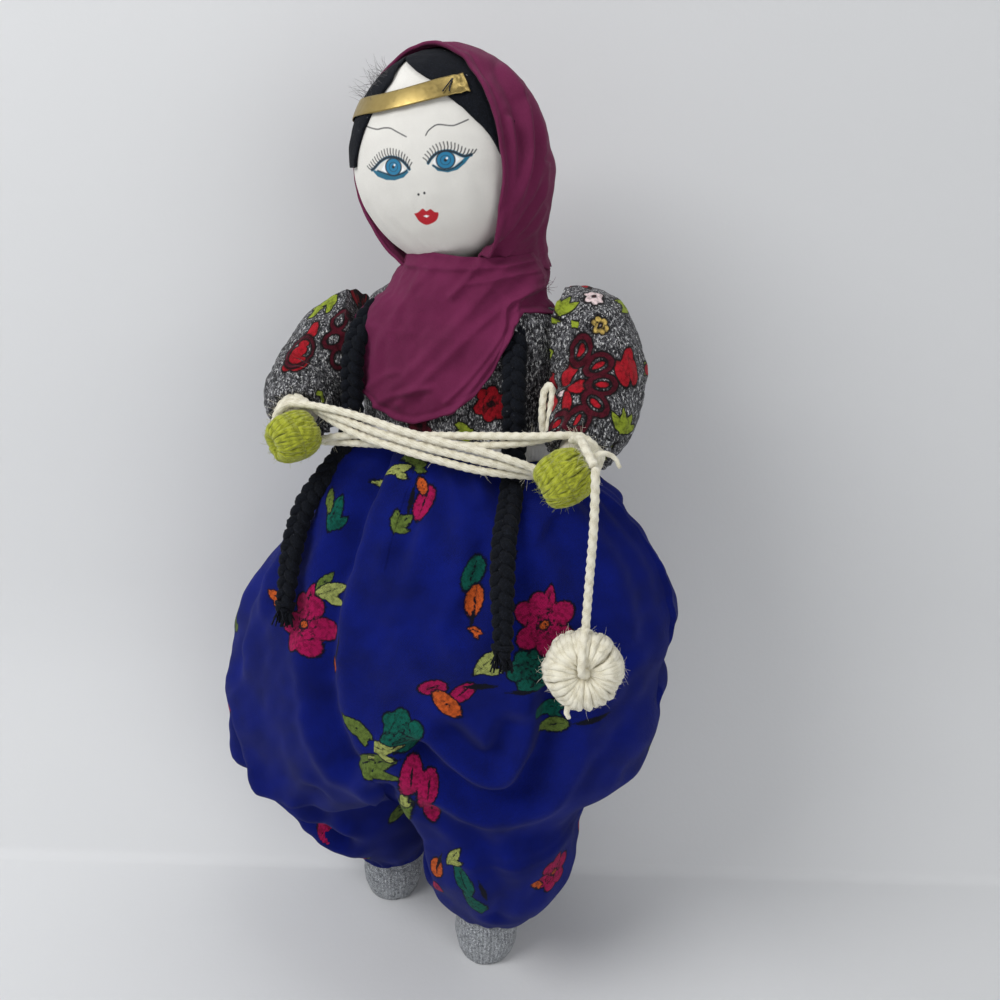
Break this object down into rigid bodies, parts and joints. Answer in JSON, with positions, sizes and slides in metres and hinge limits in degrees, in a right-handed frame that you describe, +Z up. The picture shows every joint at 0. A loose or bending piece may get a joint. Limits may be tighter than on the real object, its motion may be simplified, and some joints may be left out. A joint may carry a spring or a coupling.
{
  "type": "rag doll",
  "caption": "Hand-made cloth rag doll in a head scarf, padded jacket and wide gathered trousers, winding a yarn skein from hand to hand with a hanging yarn ball.",
  "frame": {"origin": "on the floor, under the middle of the doll's bounding box measured without the free yarn", "axes": "+Z up through the head, -Y the way the doll faces, +X to the doll's own left"},
  "size_m": [0.1858, 0.1242, 0.36],
  "materials": {
    "face": "matte, tightly stretched white cotton with a printed face",
    "stuffing": "matte stuffed calico, hidden",
    "hair": "matte black felt and wool",
    "foil": "thin shiny gold foil strip",
    "thread": "matte thread",
    "scarf": "soft crinkled plum cotton voile",
    "jacket": "matte mottled grey flannel with a printed floral pattern",
    "band": "smooth white elastic tape",
    "shalwar": "matte royal blue wool challis with a printed floral pattern",
    "yarn": "soft cream wool yarn",
    "hand_wool": "soft lime green wool yarn",
    "shoe": "silver-grey lurex knit"
  },
  "bodies": {
    "body": {"torso": "stuffing", "jacket_body": "jacket", "waistband": "band", "scarf_bib": "scarf", "shalwar_seat": "shalwar", "braid_right_upper": "hair", "braid_left_upper": "hair"},
    "neck": {"neck": "stuffing"},
    "head": {"head_ball": "face", "hair_right": "hair", "hair_left": "hair", "headband": "foil", "headband_stitch": "thread", "scarf_hood": "scarf"},
    "arm_left": {"arm_left": "stuffing", "sleeve_left": "jacket", "hand_left": "hand_wool", "hand_core_left": "hand_wool", "yarn_skein": "yarn", "yarn_tail": "yarn"},
    "arm_right": {"arm_right": "stuffing", "sleeve_right": "jacket", "hand_right": "hand_wool", "hand_core_right": "hand_wool"},
    "yarn_hang": {"yarn_bend": "yarn", "yarn_strand": "yarn"},
    "yarn_ball": {"yarn_ball": "yarn", "yarn_ball_core": "yarn"},
    "braid_right": {"braid_right_lower": "hair"},
    "braid_left": {"braid_left_lower": "hair"},
    "leg_right": {"leg_right": "stuffing", "shalwar_leg_right": "shalwar", "shoe_right": "shoe"},
    "leg_left": {"leg_left": "stuffing", "shalwar_leg_left": "shalwar", "shoe_left": "shoe"}
  },
  "joints": [
    {"name": "head_nod", "type": "hinge", "parent": "body", "child": "neck", "pos_m": [0.00826, 0.00322, 0.287], "axis": [1, 0, 0], "range_deg": [-10, 10]},
    {"name": "head_turn", "type": "hinge", "parent": "neck", "child": "head", "pos_m": [0.00826, 0.00322, 0.287], "axis": [0, 0, 1], "range_deg": [-25, 25]},
    {"name": "arms_lift", "type": "hinge", "parent": "body", "child": "arm_left", "pos_m": [0.00826, 0.00272, 0.263], "axis": [-1, 0, 0], "range_deg": [0, 60]},
    {"name": "arm_right_lift", "type": "hinge", "parent": "body", "child": "arm_right", "pos_m": [0.00826, 0.00272, 0.263], "axis": [-1, 0, 0], "range_deg": [0, 60]},
    {"name": "yarn_bend_turn", "type": "hinge", "parent": "arm_left", "child": "yarn_hang", "pos_m": [0.07706, -0.05178, 0.239], "axis": [-1, 0, 0], "range_deg": [-60, 0]},
    {"name": "ball_swing", "type": "hinge", "parent": "yarn_hang", "child": "yarn_ball", "pos_m": [0.07706, -0.05178, 0.1867], "axis": [-1, 0, 0], "range_deg": [0, 20]},
    {"name": "braid_right_swing", "type": "hinge", "parent": "body", "child": "braid_right", "pos_m": [-0.03624, -0.03428, 0.204], "axis": [-1, 0, 0], "range_deg": [0, 35]},
    {"name": "braid_left_swing", "type": "hinge", "parent": "body", "child": "braid_left", "pos_m": [0.04426, -0.04078, 0.207], "axis": [-1, 0, 0], "range_deg": [0, 35]},
    {"name": "leg_right_swing", "type": "hinge", "parent": "body", "child": "leg_right", "pos_m": [-0.01874, -0.00078, 0.165], "axis": [-1, 0, 0], "range_deg": [-15, 15]},
    {"name": "leg_left_swing", "type": "hinge", "parent": "body", "child": "leg_left", "pos_m": [0.02726, -0.00078, 0.165], "axis": [-1, 0, 0], "range_deg": [-15, 15]}
  ],
  "couplings": [
    {"joint": "arm_right_lift", "follows": "arms_lift", "ratio": 1},
    {"joint": "yarn_bend_turn", "follows": "arms_lift", "ratio": -1}
  ]
}
